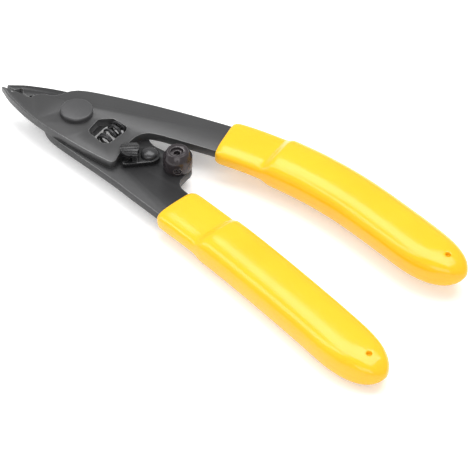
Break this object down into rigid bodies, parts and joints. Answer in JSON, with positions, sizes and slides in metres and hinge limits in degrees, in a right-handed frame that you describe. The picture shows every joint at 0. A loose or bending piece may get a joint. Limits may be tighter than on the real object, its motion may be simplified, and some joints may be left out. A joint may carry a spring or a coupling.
{
  "type": "fibre stripper",
  "caption": "Plier-style hand tool with notched bypass jaws, lock latch, adjustable stop and slip-on yellow grips, for stripping optical fibre jackets and buffers.",
  "frame": {"origin": "centre of the pivot axis at the flat rear end of the pivot bolt", "axes": "+X from the pivot towards the grip ends along the middle line of the tool, +Y towards the arm of the upper lever, +Z along the pivot axis towards the bolt head"},
  "size_m": [0.1657, 0.0726, 0.0136],
  "materials": {
    "black_steel": "satin",
    "yellow_grip": "gloss",
    "latch_steel": "satin",
    "spring_steel": "satin",
    "dark_collar": "gloss"
  },
  "bodies": {
    "lower": {"lower_lever": "black_steel", "lower_grip": "yellow_grip", "pivot_bolt": "black_steel", "pivot_nut": "black_steel", "latch_rivet": "latch_steel", "stop_screw": "dark_collar", "return_spring": "spring_steel"},
    "upper": {"upper_lever": "black_steel", "upper_grip": "yellow_grip"},
    "latch": {"lock_latch": "latch_steel"},
    "stop": {"stop_collar": "dark_collar", "stop_set_screw": "dark_collar"}
  },
  "joints": [
    {"name": "pivot", "type": "hinge", "parent": "lower", "child": "upper", "pos_m": [0, 0, 0.0074], "axis": [0, 0, 1], "range_deg": [-5.3, 12], "deforming": ["return_spring"]},
    {"name": "latch_swing", "type": "hinge", "parent": "lower", "child": "latch", "pos_m": [0.029, -0.00272, 0.006], "axis": [0, 0, 1], "range_deg": [0, 70]},
    {"name": "stop_turn", "type": "hinge", "parent": "lower", "child": "stop", "pos_m": [0.03853, -0.00146, 0.006], "axis": [0, 0, 1], "range_deg": [-90, 90]}
  ]
}
